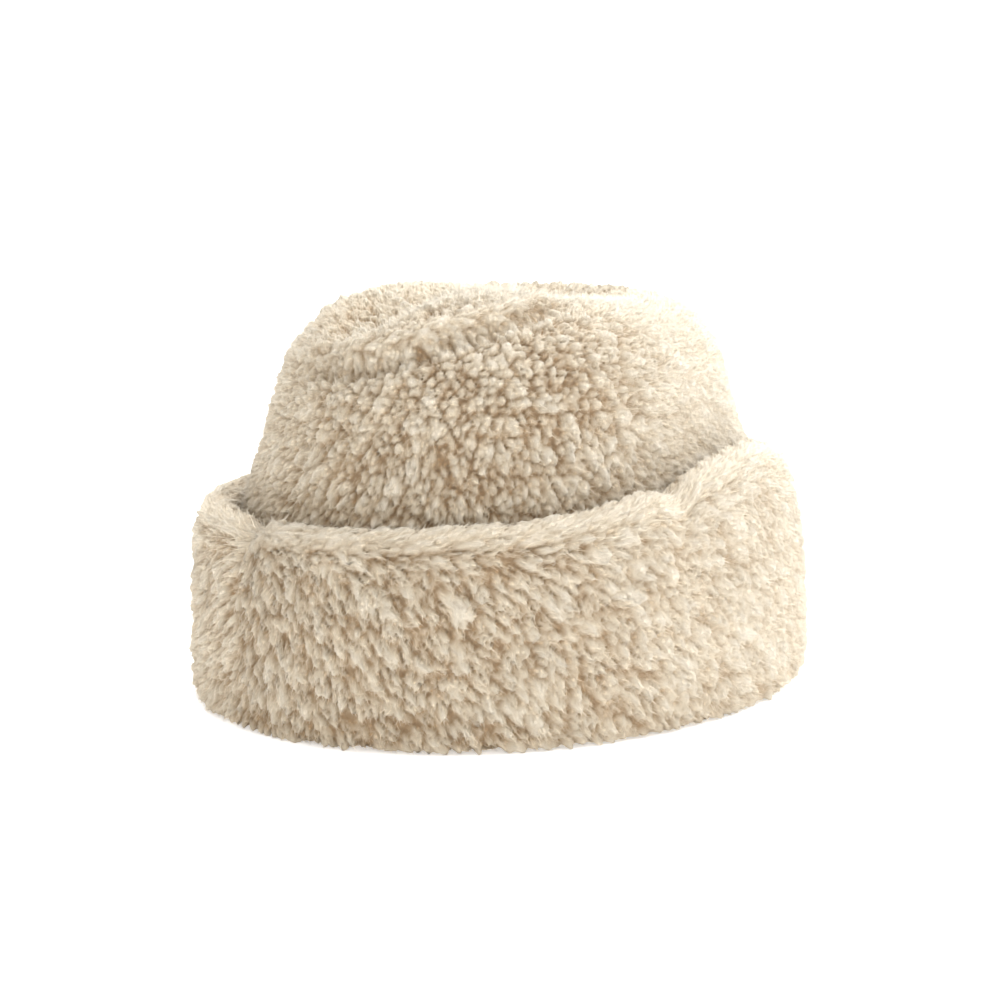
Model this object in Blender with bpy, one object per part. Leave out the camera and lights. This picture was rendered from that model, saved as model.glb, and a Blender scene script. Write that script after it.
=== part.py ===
"""Pile beanie with a deep turned-up cuff, in metres with +Z up and the front towards -Y.

The crown is four gores that meet at the top. The hem is folded up outside them as a cuff of four
panels, whose seams stand in line with the crown's. Each panel is drawn flat, as a maker cuts it,
with its pile in staggered locks, and is then wrapped round the hat. The hat stands on the fold of
its cuff. The origin is the middle of its bounding box, at the bottom.
"""

import math
import random

import bmesh
import bpy
from mathutils import Vector
from mathutils.geometry import delaunay_2d_cdt

MM = 0.001

# Plan of the hat, measured over the pile
CUFF_HALF_LENGTH = 129.0 * MM
CUFF_HALF_WIDTH = 108.2 * MM
CROWN_HALF_LENGTH = 113.0 * MM
CROWN_HALF_WIDTH = 92.2 * MM

# Walls, each a knitted backing with its pile
CROWN_WALL = 12.5 * MM
SEAM_GAP = 0.3 * MM
FOOT_TOP = 14.0 * MM
FOLD_GAP = 0.3 * MM
CONTACT_GAP = 0.5 * MM

# Pile
LOCK_PITCH = 12.0 * MM
LOCK_DEPTH = 4.0 * MM
LOCK_DROOP = 4.0 * MM
LOCK_NAP = 2.0 * MM
LOCK_JITTER = 1.3 * MM
LOCK_TO_EDGE = 3.8 * MM
PLAIN_SPACING = 14.0 * MM
LINING_SPACING = 20.0 * MM
EDGE_SPACING = 8.0 * MM
HEM_SPACING = 9.6 * MM
RANDOM_SEED = 7

# Side view of the crown's outside: part of the half length reached at each height
CROWN_OUTSIDE = (
    # reach, height
    (1.000, FOOT_TOP + FOLD_GAP),
    (0.998, 36.0 * MM),
    (0.975, 62.0 * MM),
    (0.925, 87.0 * MM),
    (0.882, 101.0 * MM),
    (0.842, 116.0 * MM),
    (0.808, 129.0 * MM),
    (0.755, 140.5 * MM),
    (0.680, 149.0 * MM),
    (0.570, 155.2 * MM),
    (0.420, 159.2 * MM),
    (0.220, 161.2 * MM),
    (0.000, 161.8 * MM),
)
CROWN_CURVE_PARTS = 5
CROWN_HIDDEN_ROWS = (24.0 * MM, 42.0 * MM)
CROWN_PILE_FROM = 58.0 * MM
CROWN_PILE_FADE = 8.0 * MM

# Section of the cuff, as insets from its widest oval. Where the rim is high or low, a height
# follows it by the share in the last column.
CUFF_OUTSIDE = (
    # inset, height, share of the rim's rise
    (28.5 * MM, 13.0 * MM, 0.0),
    (27.6 * MM, 5.0 * MM, 0.0),
    (25.0 * MM, 1.4 * MM, 0.0),
    (21.0 * MM, 0.0, 0.0),
    (5.5 * MM, 0.0, 0.0),
    (2.0 * MM, 1.2 * MM, 0.0),
    (0.4 * MM, 5.0 * MM, 0.0),
    (0.1 * MM, 13.0 * MM, 0.05),
    (0.0, 28.0 * MM, 0.25),
    (0.2 * MM, 50.0 * MM, 0.6),
    (1.2 * MM, 68.0 * MM, 0.9),
    (2.6 * MM, 77.0 * MM, 1.0),
    (5.0 * MM, 82.6 * MM, 1.0),
    (8.2 * MM, 85.0 * MM, 1.0),
)
CUFF_INSIDE = (
    # inset, height, share of the rim's rise
    (28.0 * MM, FOOT_TOP, 0.0),
    (16.0 * MM - CONTACT_GAP, FOOT_TOP, 0.0),
    (16.1 * MM - CONTACT_GAP, 34.0 * MM, 0.1),
    (14.6 * MM, 56.0 * MM, 0.6),
    (13.2 * MM, 76.0 * MM, 1.0),
    (11.0 * MM, 83.4 * MM, 1.0),
)
CUFF_PILE_FROM_ROW = 5
CUFF_PILE_TO_ROW = 11
CUFF_PILE_FADE = 9.0 * MM

# Rim of the cuff round the hat, by bearing from the right side
RIM = (
    # bearing in degrees, height, lean inwards
    (-90.0, 80.0 * MM, 0.0 * MM),
    (-67.5, 82.0 * MM, 0.0 * MM),
    (-45.0, 84.0 * MM, 0.0 * MM),
    (-22.5, 86.5 * MM, 0.5 * MM),
    (0.0, 93.0 * MM, 1.5 * MM),
    (22.5, 100.0 * MM, 3.0 * MM),
    (45.0, 91.0 * MM, 5.0 * MM),
    (67.5, 84.0 * MM, 4.5 * MM),
    (90.0, 82.0 * MM, 3.0 * MM),
    (112.5, 81.0 * MM, 2.0 * MM),
    (135.0, 80.0 * MM, 1.0 * MM),
    (157.5, 79.0 * MM, 0.5 * MM),
    (180.0, 77.0 * MM, 0.0 * MM),
    (202.5, 74.5 * MM, 0.0 * MM),
    (225.0, 76.0 * MM, 0.0 * MM),
    (247.5, 78.5 * MM, 0.0 * MM),
)
RIM_LEVEL = 85.0 * MM
RIM_NOTCH = 4.0 * MM
RIM_NOTCH_HALF_ANGLE = 5.0

# Dents of the crown's top: a valley along the front seam, a slump behind and one at the far left
TOP_DENTS = (
    # middle x, middle y, half size across, half size along, bearing of its length, depth
    (0.0, -58.0 * MM, 13.0 * MM, 27.0 * MM, 90.0, 9.0 * MM),
    (-4.0 * MM, 32.0 * MM, 46.0 * MM, 50.0 * MM, 0.0, 14.0 * MM),
    (-52.0 * MM, -8.0 * MM, 28.0 * MM, 46.0 * MM, 90.0, 4.0 * MM),
)
DENT_FROM_HEIGHT = 112.0 * MM
DENT_FULL_HEIGHT = 146.0 * MM

# Soft fold over the front and the near side: a crease in the wall, with a ridge above it
FOLD = (
    # bearing in degrees, height of the crease
    (-108.0, 132.0 * MM),
    (-90.0, 134.5 * MM),
    (-74.0, 136.5 * MM),
    (-60.0, 142.0 * MM),
    (-48.0, 147.5 * MM),
    (-34.0, 152.0 * MM),
    (-20.0, 155.5 * MM),
    (-4.0, 158.5 * MM),
)
FOLD_FADE = 14.0
CREASE_DEPTH = 4.0 * MM
CREASE_HALF_WIDTH = 5.0 * MM
RIDGE_HEIGHT = 3.0 * MM
RIDGE_ABOVE = 10.0 * MM
RIDGE_HALF_WIDTH = 8.0 * MM

PANELS = (
    # name, bearing of its middle in degrees, lean of its pile
    ("front_right", -45.0, 1.0),
    ("back_right", 45.0, 1.0),
    ("back_left", 135.0, -1.0),
    ("front_left", 225.0, -1.0),
)
QUARTER_HALF_ANGLE = math.radians(45.0)

# Kinds of point on a flat panel
PLAIN, ROOT, TIP = range(3)
TIP_REACH = 0.98

# Rows of a panel wider than this share of its widest row get as many points as that one
MOSTLY = 0.8

PILE_COLOURS = {
    "crown": (0.60, 0.50, 0.37, 1.0),
    "cuff": (0.63, 0.53, 0.39, 1.0),
}
PILE_ROUGHNESS = 0.95


def blend(low, high, value):
    """Smooth step from 0 at low to 1 at high."""
    share = min(max((value - low) / (high - low), 0.0), 1.0)
    return share * share * (3.0 - 2.0 * share)


def curve(rows, share):
    """Point between the second and third of four rows, on a smooth curve through them."""
    before, here, there, after = rows
    return 0.5 * (2.0 * here + (there - before) * share
                  + (2.0 * before - 5.0 * here + 4.0 * there - after) * share ** 2
                  + (3.0 * here - before - 3.0 * there + after) * share ** 3)


def smooth_rows(rows, parts):
    """Rows of a table with curved steps between them, through every row."""
    points = [Vector(row) for row in rows]
    last = len(points) - 1
    finer = []
    for index in range(last):
        four = [points[min(max(index + offset, 0), last)] for offset in (-1, 0, 1, 2)]
        finer += [curve(four, part / parts) for part in range(parts)]
    return finer + [points[last]]


class SidePath:
    """Side view of a wall's face, a path of (reach, height, rise) read by distance along it."""

    def __init__(self, rows):
        self.rows = rows
        self.marks = [0.0]
        for here, there in zip(rows, rows[1:]):
            self.marks.append(self.marks[-1] + (there - here).xy.length)
        self.length = self.marks[-1]

    def at(self, distance):
        """The path's row at a distance from its start."""
        distance = min(max(distance, 0.0), self.length)
        for index in range(len(self.rows) - 1):
            if distance <= self.marks[index + 1]:
                span = self.marks[index + 1] - self.marks[index]
                return self.rows[index].lerp(self.rows[index + 1], (distance - self.marks[index]) / span)
        return self.rows[-1].copy()

    def outward(self, distance):
        """Direction out of the wall, as (reach, height)."""
        step = 2.0 * MM
        run = (self.at(distance + step) - self.at(distance - step)).xy
        return Vector((run.y, -run.x)).normalized()

    def where_height(self, height):
        """Distance along the path at which it first reaches a height."""
        for index in range(len(self.rows) - 1):
            low, high = self.rows[index].y, self.rows[index + 1].y
            if low <= height < high:
                share = (height - low) / (high - low)
                return self.marks[index] + share * (self.marks[index + 1] - self.marks[index])
        return self.length


def rim_at(bearing):
    """Height of the cuff's rim and its lean inwards at a bearing in degrees, with a notch at each seam."""
    from_first = (bearing - RIM[0][0]) % 360.0
    step = 360.0 / len(RIM)
    index = int(from_first // step) % len(RIM)
    share = from_first / step - index
    rows = [Vector(RIM[(index + offset) % len(RIM)]) for offset in (-1, 0, 1, 2)]
    row = curve(rows, share)
    from_seam = abs((bearing + 45.0) % 90.0 - 45.0)
    notch = RIM_NOTCH * (1.0 - blend(0.0, RIM_NOTCH_HALF_ANGLE, from_seam))
    return row.y - notch, row.z


def settle(point):
    """Sinks a point of the crown into the dents of its top."""
    weight = blend(DENT_FROM_HEIGHT, DENT_FULL_HEIGHT, point.z)
    sunk = point.copy()
    for middle_x, middle_y, across, along, bearing, depth in TOP_DENTS:
        turn = math.radians(bearing)
        dx, dy = point.x - middle_x, point.y - middle_y
        lengthwise = (dx * math.cos(turn) + dy * math.sin(turn)) / along
        sideways = (dy * math.cos(turn) - dx * math.sin(turn)) / across
        sunk.z -= depth * weight * math.exp(-lengthwise ** 2 - sideways ** 2)
    return sunk


def fold_lift(path, bearing, distance):
    """How far the soft fold lifts the wall outwards at a bearing in degrees."""
    bearing = (bearing + 180.0) % 360.0 - 180.0
    first, last = FOLD[0][0], FOLD[-1][0]
    strength = blend(first, first + FOLD_FADE, bearing) * (1.0 - blend(last - FOLD_FADE, last, bearing))
    if strength == 0.0:
        return 0.0
    for (low, low_height), (high, high_height) in zip(FOLD, FOLD[1:]):
        if low <= bearing <= high:
            height = low_height + (high_height - low_height) * (bearing - low) / (high - low)
    above = distance - path.where_height(height)
    crease = CREASE_DEPTH * math.exp(-(above / CREASE_HALF_WIDTH) ** 2)
    ridge = RIDGE_HEIGHT * math.exp(-((above - RIDGE_ABOVE) / RIDGE_HALF_WIDTH) ** 2)
    return strength * (ridge - crease)


class CrownWall:
    """One face of the crown's wall, a given depth below the tips of its pile."""

    def __init__(self, depth):
        rows = [(reach * CROWN_HALF_LENGTH, height, 0.0) for reach, height in CROWN_OUTSIDE]
        self.path = SidePath(smooth_rows(rows, CROWN_CURVE_PARTS))
        self.depth = depth
        self.oval = CROWN_HALF_WIDTH / CROWN_HALF_LENGTH

    def half_width(self, distance):
        """Half the width of the flat gore at a distance from its hem."""
        return self.path.at(distance).x * (1.0 + self.oval) / 2.0 * QUARTER_HALF_ANGLE

    def place(self, turn, distance, depth=0.0):
        """World position of a point of the gore."""
        row = self.path.at(distance)
        out = self.path.outward(distance)
        depth += self.depth - fold_lift(self.path, math.degrees(turn), distance)
        inset = depth * out.x if distance < self.path.length else 0.0
        half_length = row.x - inset
        half_width = row.x * self.oval - inset
        height = row.y - depth * out.y
        return settle(Vector((half_width * math.cos(turn), half_length * math.sin(turn), height)))


class CuffWall:
    """One face of the cuff's wall."""

    def __init__(self, rows):
        self.path = SidePath([Vector((-inset, height, rise)) for inset, height, rise in rows])

    def half_width(self, distance):
        """Half the width of the flat panel."""
        mean = (CUFF_HALF_LENGTH + CUFF_HALF_WIDTH) / 2.0
        return (mean + self.path.at(distance).x) * QUARTER_HALF_ANGLE

    def place(self, turn, distance, depth=0.0):
        """World position of a point of the panel."""
        row = self.path.at(distance)
        out = self.path.outward(distance)
        rim, lean = rim_at(math.degrees(turn))
        reach = row.x - depth * out.x - row.z ** 2 * lean
        height = row.y + row.z * (rim - RIM_LEVEL) - depth * out.y
        return Vector(((CUFF_HALF_WIDTH + reach) * math.cos(turn),
                       (CUFF_HALF_LENGTH + reach) * math.sin(turn),
                       max(height, 0.0)))


def unsunk(distance):
    """No depth at any distance, for a face without pile."""
    return 0.0


def seam_marks(inside, outside):
    """Shares of the wall's length at which both faces have a point on the seam."""
    shares = []
    for low, high in zip(inside.marks, inside.marks[1:]):
        low, high = low / inside.length, high / inside.length
        steps = max(1, round((high - low) * max(outside.length, inside.length) / EDGE_SPACING))
        shares += [low + (high - low) * step / steps for step in range(steps)]
    return shares + [1.0]


def pattern_edge(shares, hem_steps, top_steps):
    """Outline of a flat panel, as pairs of share across (-1 to 1) and share along (0 to 1).

    A gore that ends in a point has no top steps.
    """
    edge = [(-1.0 + 2.0 * step / hem_steps, 0.0) for step in range(hem_steps)]
    edge += [(1.0, share) for share in shares]
    edge += [(1.0 - 2.0 * step / top_steps, 1.0) for step in range(1, top_steps + 1)]
    return edge + [(-1.0, share) for share in reversed(shares[1:-1])]


def plain_points(wall, distances, spacing):
    """Points of a flat panel without pile, in rows at the given distances and equal steps across."""
    points = []
    widest = max(wall.half_width(distance) for distance in distances)
    for distance in distances:
        half = wall.half_width(distance)
        steps = max(1, round(2.0 * (widest if half > MOSTLY * widest else half) / spacing))
        for step in range(1, steps):
            points.append((-half + 2.0 * half * step / steps, distance, PLAIN))
    return points


def lock_points(wall, start, end, chance):
    """Staggered points of the pile: one tip in three, the others the roots between the tips."""
    spacing = LOCK_PITCH / math.sqrt(3.0)
    rows = int((end - start) / (spacing * math.sqrt(3.0) / 2.0))
    row_step = (end - start) / rows
    points = []
    for row in range(rows + 1):
        distance = start + row * row_step
        half = wall.half_width(distance) - LOCK_TO_EDGE
        reach = int(half / spacing) + rows
        for column in range(-reach - row, reach + 1):
            x = (column + row / 2.0) * spacing + chance.uniform(-LOCK_JITTER, LOCK_JITTER)
            y = distance + chance.uniform(-LOCK_JITTER, LOCK_JITTER)
            if abs(x) < half:
                points.append((x, y, TIP if (column - row) % 3 == 0 else ROOT))
    return points


def triangulate(wall, edge, points):
    """Flat panel cut into triangles, its outline first and then its inner points."""
    flat = [Vector((across * wall.half_width(along * wall.path.length), along * wall.path.length))
            for across, along in edge]
    flat += [Vector((x, y)) for x, y, _ in points]
    ring = list(range(len(edge)))
    found, _, faces, origins, _, _ = delaunay_2d_cdt(flat, [], [ring], 1, 1.0e-7)
    if len(found) != len(flat):
        raise ValueError("two points of a flat panel coincide")
    return [[origins[corner][0] for corner in face] for face in faces]


def edge_corners(wall, middle, edge, sunk):
    """World positions of a face's outline, sunk by a depth that follows the distance from the hem."""
    length = wall.path.length
    return [wall.place(middle + across * QUARTER_HALF_ANGLE, along * length, sunk(along * length))
            for across, along in edge]


def inner_corner(wall, middle, lean, x, y, kind):
    """World position of an inner point: a tip droops and leans, a root lies deep, the rest stay."""
    turn = x / wall.half_width(y) * QUARTER_HALF_ANGLE
    if kind == ROOT:
        return wall.place(middle + turn, y, LOCK_DEPTH)
    if kind == PLAIN:
        return wall.place(middle + turn, y)
    half = wall.half_width(y - LOCK_DROOP)
    across = min(max((x + LOCK_NAP * lean) / half, -TIP_REACH), TIP_REACH)
    return wall.place(middle + across * QUARTER_HALF_ANGLE, y - LOCK_DROOP)


def build_panel(name, middle, lean, outside, inside, edge, outside_points, inside_points, sunk):
    """Closed solid of one panel, wrapped round the hat from its two flat faces."""
    middle = math.radians(middle)
    shift = Vector((math.copysign(SEAM_GAP / 2.0, math.cos(middle)),
                    math.copysign(SEAM_GAP / 2.0, math.sin(middle)), 0.0))
    mesh = bmesh.new()
    sheets = []
    for wall, points, edge_sunk in ((outside, outside_points, sunk), (inside, inside_points, unsunk)):
        corners = edge_corners(wall, middle, edge, edge_sunk)
        corners += [inner_corner(wall, middle, lean, x, y, kind) for x, y, kind in points]
        sheet = [mesh.verts.new(corner + shift) for corner in corners]
        for face in triangulate(wall, edge, points):
            mesh.faces.new([sheet[corner] for corner in face])
        sheets.append(sheet)
    outer, inner = sheets
    for here in range(len(edge)):
        there = (here + 1) % len(edge)
        mesh.faces.new((outer[there], outer[here], inner[here], inner[there]))
    bmesh.ops.recalc_face_normals(mesh, faces=mesh.faces[:])
    bmesh.ops.triangulate(mesh, faces=mesh.faces[:])
    data = bpy.data.meshes.new(name)
    mesh.to_mesh(data)
    mesh.free()
    return bpy.data.objects.new(name, data)


def pile_material(name, colour):
    """Dull cream pile."""
    material = bpy.data.materials.new(name)
    material.use_nodes = True
    shader = material.node_tree.nodes["Principled BSDF"]
    shader.inputs["Base Color"].default_value = colour
    shader.inputs["Roughness"].default_value = PILE_ROUGHNESS
    shader.inputs["Metallic"].default_value = 0.0
    material.diffuse_color = colour
    return material


def crown_panel(name, middle, lean, chance):
    """One gore of the crown, from its hem inside the cuff to the top of the hat."""
    outside, inside = CrownWall(0.0), CrownWall(CROWN_WALL)
    length = outside.path.length
    pile_from = outside.path.where_height(CROWN_PILE_FROM)
    steps = round(length / EDGE_SPACING)
    edge = pattern_edge([step / steps for step in range(steps + 1)],
                        round(2.0 * outside.half_width(0.0) / PLAIN_SPACING), 0)
    hidden = [outside.path.where_height(height) for height in CROWN_HIDDEN_ROWS]
    points = plain_points(outside, hidden, PLAIN_SPACING)
    points += lock_points(outside, pile_from, length - LOCK_TO_EDGE, chance)
    rows = round(length / LINING_SPACING)
    lining = plain_points(inside, [length * row / rows for row in range(1, rows)], LINING_SPACING)

    def sunk(distance):
        """Depth of the seam below the tips."""
        return LOCK_DEPTH * blend(pile_from - CROWN_PILE_FADE, pile_from, distance)

    return build_panel(name, middle, lean, outside, inside, edge, points, lining, sunk)


def cuff_panel(name, middle, lean, chance):
    """One panel of the cuff, from the fold under the crown to its rim."""
    outside, inside = CuffWall(CUFF_OUTSIDE), CuffWall(CUFF_INSIDE)
    marks = outside.path.marks
    pile_from = marks[CUFF_PILE_FROM_ROW]
    steps = round(2.0 * outside.half_width(pile_from) / HEM_SPACING)
    edge = pattern_edge(seam_marks(inside.path, outside.path), steps, steps)
    points = plain_points(outside, marks[1:CUFF_PILE_FROM_ROW], PLAIN_SPACING)
    points += lock_points(outside, pile_from, outside.path.length - LOCK_TO_EDGE, chance)
    contact = plain_points(inside, inside.path.marks[1:-1], PLAIN_SPACING)

    def sunk(distance):
        """Depth of the seam below the tips."""
        return (LOCK_DEPTH * blend(pile_from, pile_from + CUFF_PILE_FADE, distance)
                * (1.0 - blend(marks[CUFF_PILE_TO_ROW], marks[-1], distance)))

    return build_panel(name, middle, lean, outside, inside, edge, points, contact, sunk)


def build_hat():
    """All the panels, each an object with its own material."""
    collection = bpy.data.collections.new("pile_beanie")
    bpy.context.scene.collection.children.link(collection)
    chance = random.Random(RANDOM_SEED)
    for kind, make in (("crown", crown_panel), ("cuff", cuff_panel)):
        for side, middle, lean in PANELS:
            name = f"{kind}_{side}"
            panel = make(name, middle, lean, chance)
            panel.data.materials.append(pile_material(f"{name}_pile", PILE_COLOURS[kind]))
            panel.data.shade_smooth()
            collection.objects.link(panel)


def clear_scene():
    """Removes the objects that the scene opened with."""
    for thing in list(bpy.data.objects):
        bpy.data.objects.remove(thing, do_unlink=True)


clear_scene()
build_hat()
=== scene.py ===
"""Looks of a pile beanie: cream curly pile on a knitted backing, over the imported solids.

Every panel is cut as a flat blank, knitted on one side and pile on the other, and wrapped round the
hat. Its pile is raised in locks that are combed the way they lie, with loose fibres over them.
"""
import logging
import math
from dataclasses import dataclass, field
from enum import Enum
from typing import Callable

import bpy
import numpy as np
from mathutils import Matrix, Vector
from mathutils.kdtree import KDTree


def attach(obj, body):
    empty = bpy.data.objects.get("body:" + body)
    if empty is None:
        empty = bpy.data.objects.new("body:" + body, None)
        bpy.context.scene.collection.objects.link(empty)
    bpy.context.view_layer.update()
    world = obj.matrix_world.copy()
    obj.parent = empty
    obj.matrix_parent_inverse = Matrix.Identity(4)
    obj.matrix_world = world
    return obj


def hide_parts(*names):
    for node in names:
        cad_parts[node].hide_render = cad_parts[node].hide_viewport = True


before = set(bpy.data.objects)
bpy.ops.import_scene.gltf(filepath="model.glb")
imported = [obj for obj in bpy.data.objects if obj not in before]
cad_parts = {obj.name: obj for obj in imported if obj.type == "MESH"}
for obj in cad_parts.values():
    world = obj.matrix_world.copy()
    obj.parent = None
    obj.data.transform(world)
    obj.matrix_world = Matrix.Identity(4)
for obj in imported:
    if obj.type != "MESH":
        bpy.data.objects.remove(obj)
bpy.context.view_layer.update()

MM = 0.001
LOG = logging.getLogger("pile_beanie")
SEED = 11
QUARTER_HALF_ANGLE = math.radians(45.0)
# Corners of a blank past this share of its half size are on its border.
BORDER = 0.9999
# Corners of two cloths meet where they are this close.
TOUCHING = 0.02 * MM
# Staggered rows lie this share of their points' pitch apart.
ROW_STEP = 0.87
# Unevenness is a sum of this many waves, and the shortest is this share of the longest.
WAVE_COUNT = 9
SHORTEST_WAVE = 0.35
# A panel's width is read at this many places to find its widest.
WIDTH_PLACES = 50
# A vector shorter than this has no direction.
TINY = 1.0e-12

Table = tuple[tuple[float, ...], ...]
# Corner positions and triangles.
Arrays = tuple[np.ndarray, np.ndarray]


class Quarter(Enum):
    """Quarter of the hat that a panel covers: its name, and the bearing of its middle in degrees."""

    FRONT_RIGHT = ("front_right", -45.0)
    BACK_RIGHT = ("back_right", 45.0)
    BACK_LEFT = ("back_left", 135.0)
    FRONT_LEFT = ("front_left", 225.0)

    @property
    def label(self) -> str:
        """The quarter's name in the names of its panels."""
        return self.value[0]

    @property
    def middle(self) -> float:
        """Bearing of the quarter's middle, in radians."""
        return math.radians(self.value[1])


class Cloth(Enum):
    """Material of a face of a panel, by its place in the panel's material slots."""

    PILE = 0
    BACKING = 1


def blend(low: float, high: float, value: np.ndarray) -> np.ndarray:
    """Smooth step.

    Args:
        low: Value at which it is 0.
        high: Value at which it is 1.
        value: Values to read it at.

    Returns:
        The step at each value.
    """
    share = np.clip((value - low) / (high - low), 0.0, 1.0)
    return share * share * (3.0 - 2.0 * share)


def smooth_rows(rows: np.ndarray, parts: int, closed: bool = False) -> np.ndarray:
    """Puts curved steps between the rows of a table.

    Args:
        rows: The table's rows, which the curve goes through.
        parts: Steps between two rows.
        closed: Whether the last row is followed by the first.

    Returns:
        The finer rows.
    """
    count = len(rows)
    finer = []
    for index in range(count if closed else count - 1):
        picks = [index - 1, index, index + 1, index + 2]
        picks = [pick % count if closed else min(max(pick, 0), count - 1) for pick in picks]
        before, here, there, after = rows[picks]
        for part in range(parts):
            share = part / parts
            finer.append(0.5 * (2.0 * here + (there - before) * share
                                + (2.0 * before - 5.0 * here + 4.0 * there - after) * share ** 2
                                + (3.0 * here - before - 3.0 * there + after) * share ** 3))
    return np.array(finer + [rows[0 if closed else -1]])


def unit(vectors: np.ndarray) -> np.ndarray:
    """Stretches vectors to length 1."""
    return vectors / np.maximum(np.linalg.norm(vectors, axis=-1, keepdims=True), TINY)


def by_bearing(table: Table, turn: np.ndarray) -> np.ndarray:
    """Reads a table that goes all the way round the hat.

    Args:
        table: Rows of a bearing in degrees and a value.
        turn: Bearings in radians.

    Returns:
        The value at each bearing.
    """
    bearings, values = np.array(table).T
    return np.interp((np.degrees(turn) - bearings[0]) % 360.0 + bearings[0], bearings, values)


def linear_colour(code: str) -> tuple[float, float, float, float]:
    """Turns an sRGB colour to linear light.

    Args:
        code: Six hex digits.

    Returns:
        Red, green, blue and an alpha of 1.
    """
    parts = [int(code[start:start + 2], 16) / 255.0 for start in (0, 2, 4)]
    red, green, blue = (part / 12.92 if part <= 0.04045 else ((part + 0.055) / 1.055) ** 2.4
                        for part in parts)
    return red, green, blue, 1.0


@dataclass
class SidePath:
    """Side view of a face, a path of (reach, height, share of the rim's rise) read by distance along it."""

    rows: np.ndarray
    marks: np.ndarray = field(init=False)
    length: float = field(init=False)

    def __post_init__(self) -> None:
        """Measures the path."""
        steps = np.linalg.norm(np.diff(self.rows[:, :2], axis=0), axis=1)
        self.marks = np.concatenate([[0.0], np.cumsum(steps)])
        self.length = float(self.marks[-1])

    def at(self, distance: np.ndarray) -> tuple[np.ndarray, np.ndarray, np.ndarray]:
        """Reach, height and share of the rise at each distance from the start."""
        reach, height, rise = (np.interp(distance, self.marks, column) for column in self.rows.T)
        return reach, height, rise

    def outward(self, distance: np.ndarray) -> tuple[np.ndarray, np.ndarray]:
        """Direction out of the wall.

        Args:
            distance: Distances from the start.

        Returns:
            Its part outwards and its part upwards at each distance.
        """
        step = 2.0 * MM
        reach_after, height_after, _ = self.at(distance + step)
        reach_before, height_before, _ = self.at(distance - step)
        run = unit(np.stack([height_after - height_before, reach_before - reach_after], axis=-1))
        return run[..., 0], run[..., 1]

    def where_height(self, height: np.ndarray) -> np.ndarray:
        """Distance at which a path that only climbs reaches each height."""
        return np.interp(height, self.rows[:, 1], self.marks)


@dataclass(frozen=True)
class Dent:
    """Soft dent in the crown's top."""

    middle: tuple[float, float]
    half_across: float
    half_along: float
    bearing: float
    depth: float

    def sink(self, points: np.ndarray) -> np.ndarray:
        """Sinks points into the dent.

        Args:
            points: Places on the wall.

        Returns:
            How far each point sinks.
        """
        turn = math.radians(self.bearing)
        dx, dy = points[..., 0] - self.middle[0], points[..., 1] - self.middle[1]
        lengthwise = (dx * math.cos(turn) + dy * math.sin(turn)) / self.half_along
        sideways = (dy * math.cos(turn) - dx * math.sin(turn)) / self.half_across
        return self.depth * np.exp(-lengthwise ** 2 - sideways ** 2)


class Wall:
    """A wall of the hat, which is cut flat in four quarters and wrapped round an oval."""

    path: SidePath

    def flat_half_width(self, distance: np.ndarray) -> np.ndarray:
        """Half the width of the flat panel at each distance from its hem."""
        raise NotImplementedError

    def place(self, turn: np.ndarray, distance: np.ndarray, depth: np.ndarray) -> np.ndarray:
        """World position at each bearing, distance from the hem and depth under the tips."""
        raise NotImplementedError

    def axes(self, turn: np.ndarray, distance: np.ndarray, depth: np.ndarray) -> tuple[np.ndarray, ...]:
        """Local directions of the wall.

        Args:
            turn: Bearings in radians.
            distance: Distances from the hem.
            depth: Depths under the tips of the pile.

        Returns:
            Positions, and the directions out of the wall, up along it and round it.
        """
        points = self.place(turn, distance, depth)
        step = 0.5 * MM
        back = np.minimum(distance, self.path.length - step)
        along = unit(self.place(turn, back + step, depth) - self.place(turn, back, depth))
        turned = 0.005
        around = unit(self.place(turn + turned, distance, depth) - self.place(turn - turned, distance, depth))
        out = unit(np.cross(around, along))
        return points, out, unit(np.cross(out, around)), around


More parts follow.
